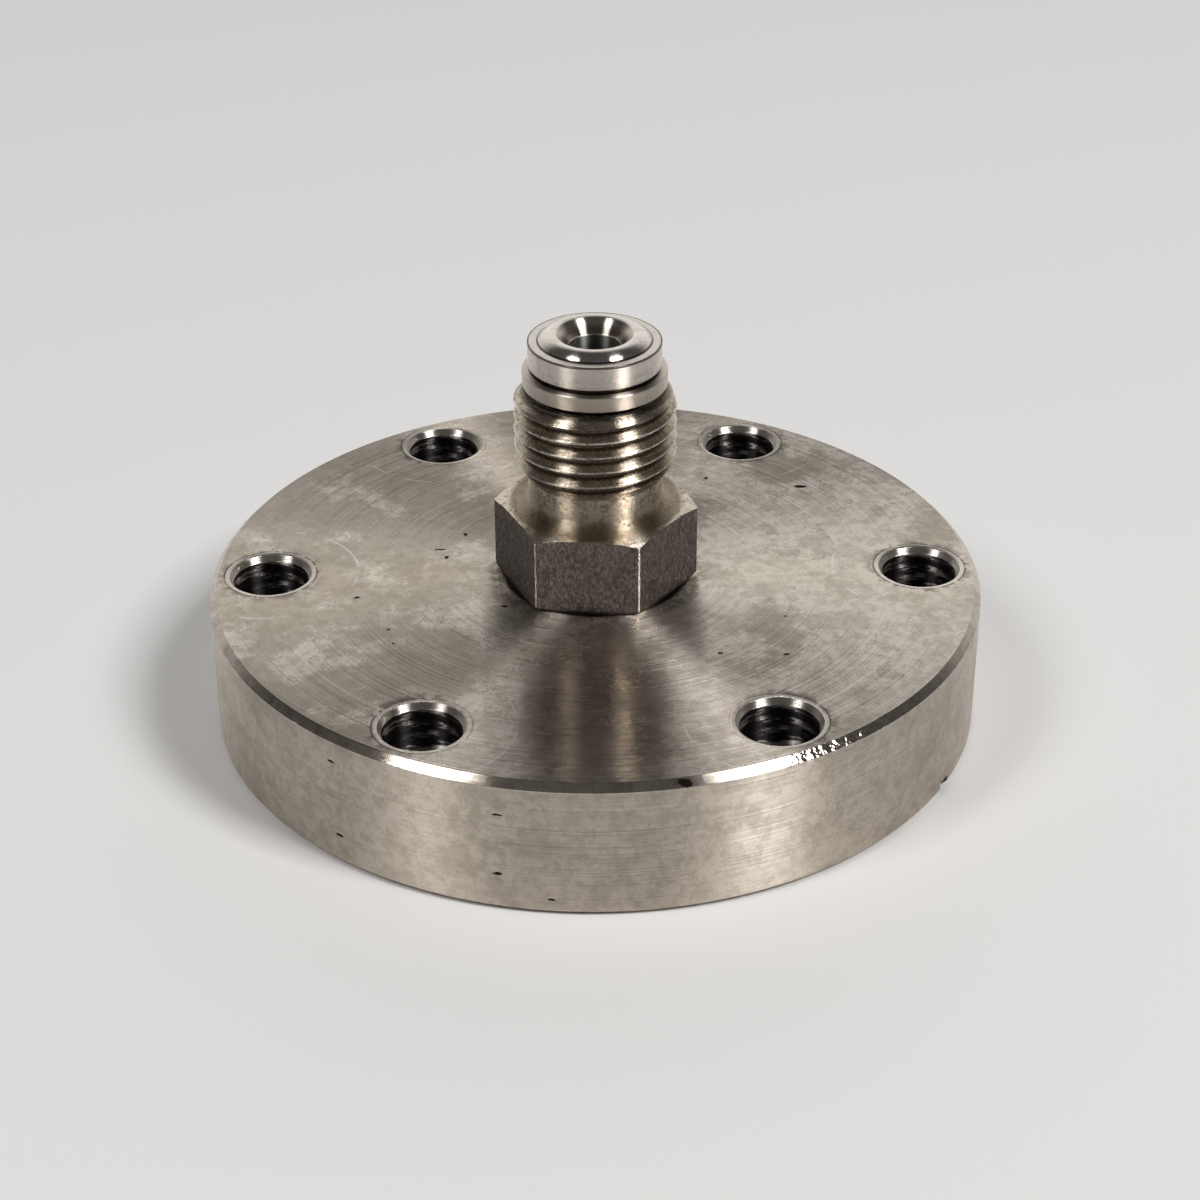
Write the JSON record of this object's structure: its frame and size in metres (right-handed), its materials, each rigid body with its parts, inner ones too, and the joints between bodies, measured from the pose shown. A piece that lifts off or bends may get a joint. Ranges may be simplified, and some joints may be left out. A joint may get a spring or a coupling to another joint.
{
  "type": "knife-edge vacuum flange with face-seal gland",
  "caption": "Round knife-edge vacuum flange that carries a welded face-seal gland and a captive threaded male nut, for joining small gas tube to a vacuum port.",
  "frame": {"origin": "centre of the mating face on the sealing side, on the axis of the flange", "axes": "+Z along the axis, from the sealing side towards the gland; +X through the first bolt hole"},
  "size_m": [0.0694, 0.0694, 0.0362],
  "materials": {
    "flange_steel": "turned and brushed stainless steel, worn",
    "gland_steel": "polished stainless steel",
    "weld_metal": "satin weld with a faint heat tint",
    "nut_steel": "satin stainless steel, worn"
  },
  "bodies": {
    "flange_body": {"flange": "flange_steel", "gland": "gland_steel", "weld_bead": "weld_metal"},
    "nut_body": {"male_nut": "nut_steel"}
  },
  "joints": [
    {"name": "nut_spin", "type": "hinge", "parent": "flange_body", "child": "nut_body", "pos_m": [0, 0, 0.0127], "axis": [0, 0, 1], "continuous": true}
  ]
}
